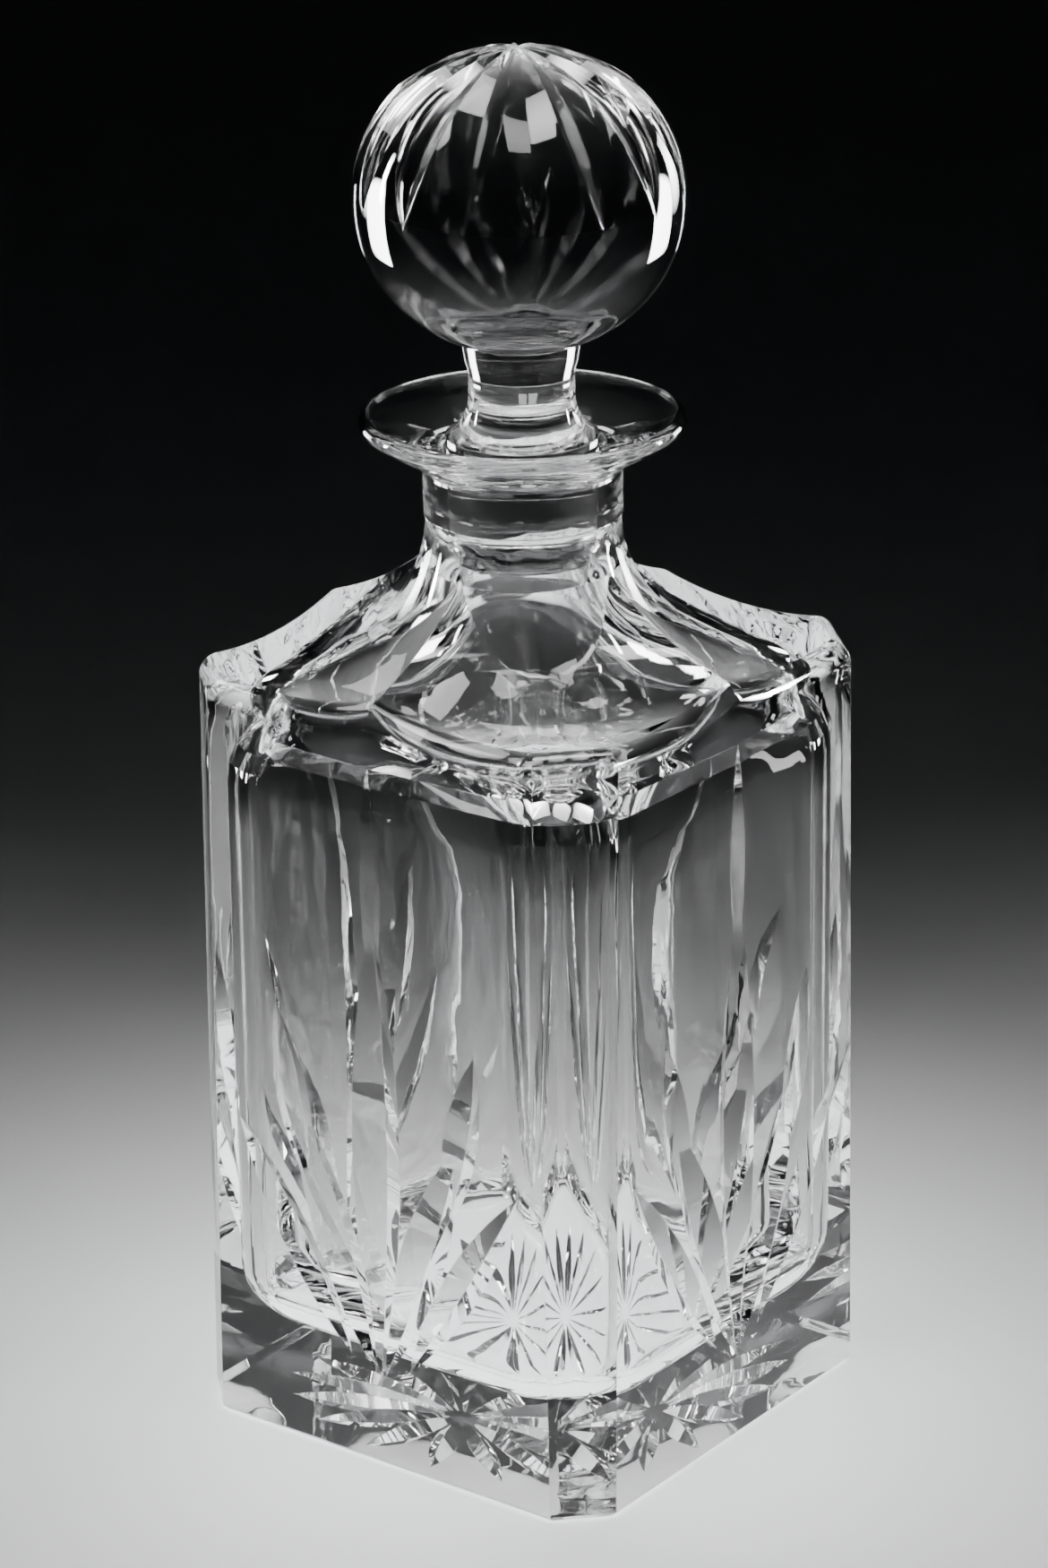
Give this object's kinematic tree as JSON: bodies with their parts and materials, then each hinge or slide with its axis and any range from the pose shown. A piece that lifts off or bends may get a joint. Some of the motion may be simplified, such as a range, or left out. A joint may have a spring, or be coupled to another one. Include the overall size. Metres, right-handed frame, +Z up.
{
  "type": "decanter",
  "caption": "Square cut crystal decanter with bevelled corners, flared rim and a fluted ball stopper that lifts out of the neck.",
  "frame": {"origin": "centre of the base, on the plane the foot rests on", "axes": "+Z up along the axis of the neck, flat faces of the body look along X and Y"},
  "size_m": [0.09, 0.09, 0.2474],
  "materials": {
    "bottle_crystal": "polished, with wheel-cut leaves and star",
    "stopper_crystal": "polished, with wheel-cut flutes and a ground plug"
  },
  "bodies": {
    "bottle": {"bottle": "bottle_crystal"},
    "stopper": {"stopper": "stopper_crystal"}
  },
  "joints": [
    {"name": "stopper_lift", "type": "slide", "parent": "bottle", "child": "stopper", "axis": [0, 0, 1], "range_m": [0, 0.06]}
  ]
}
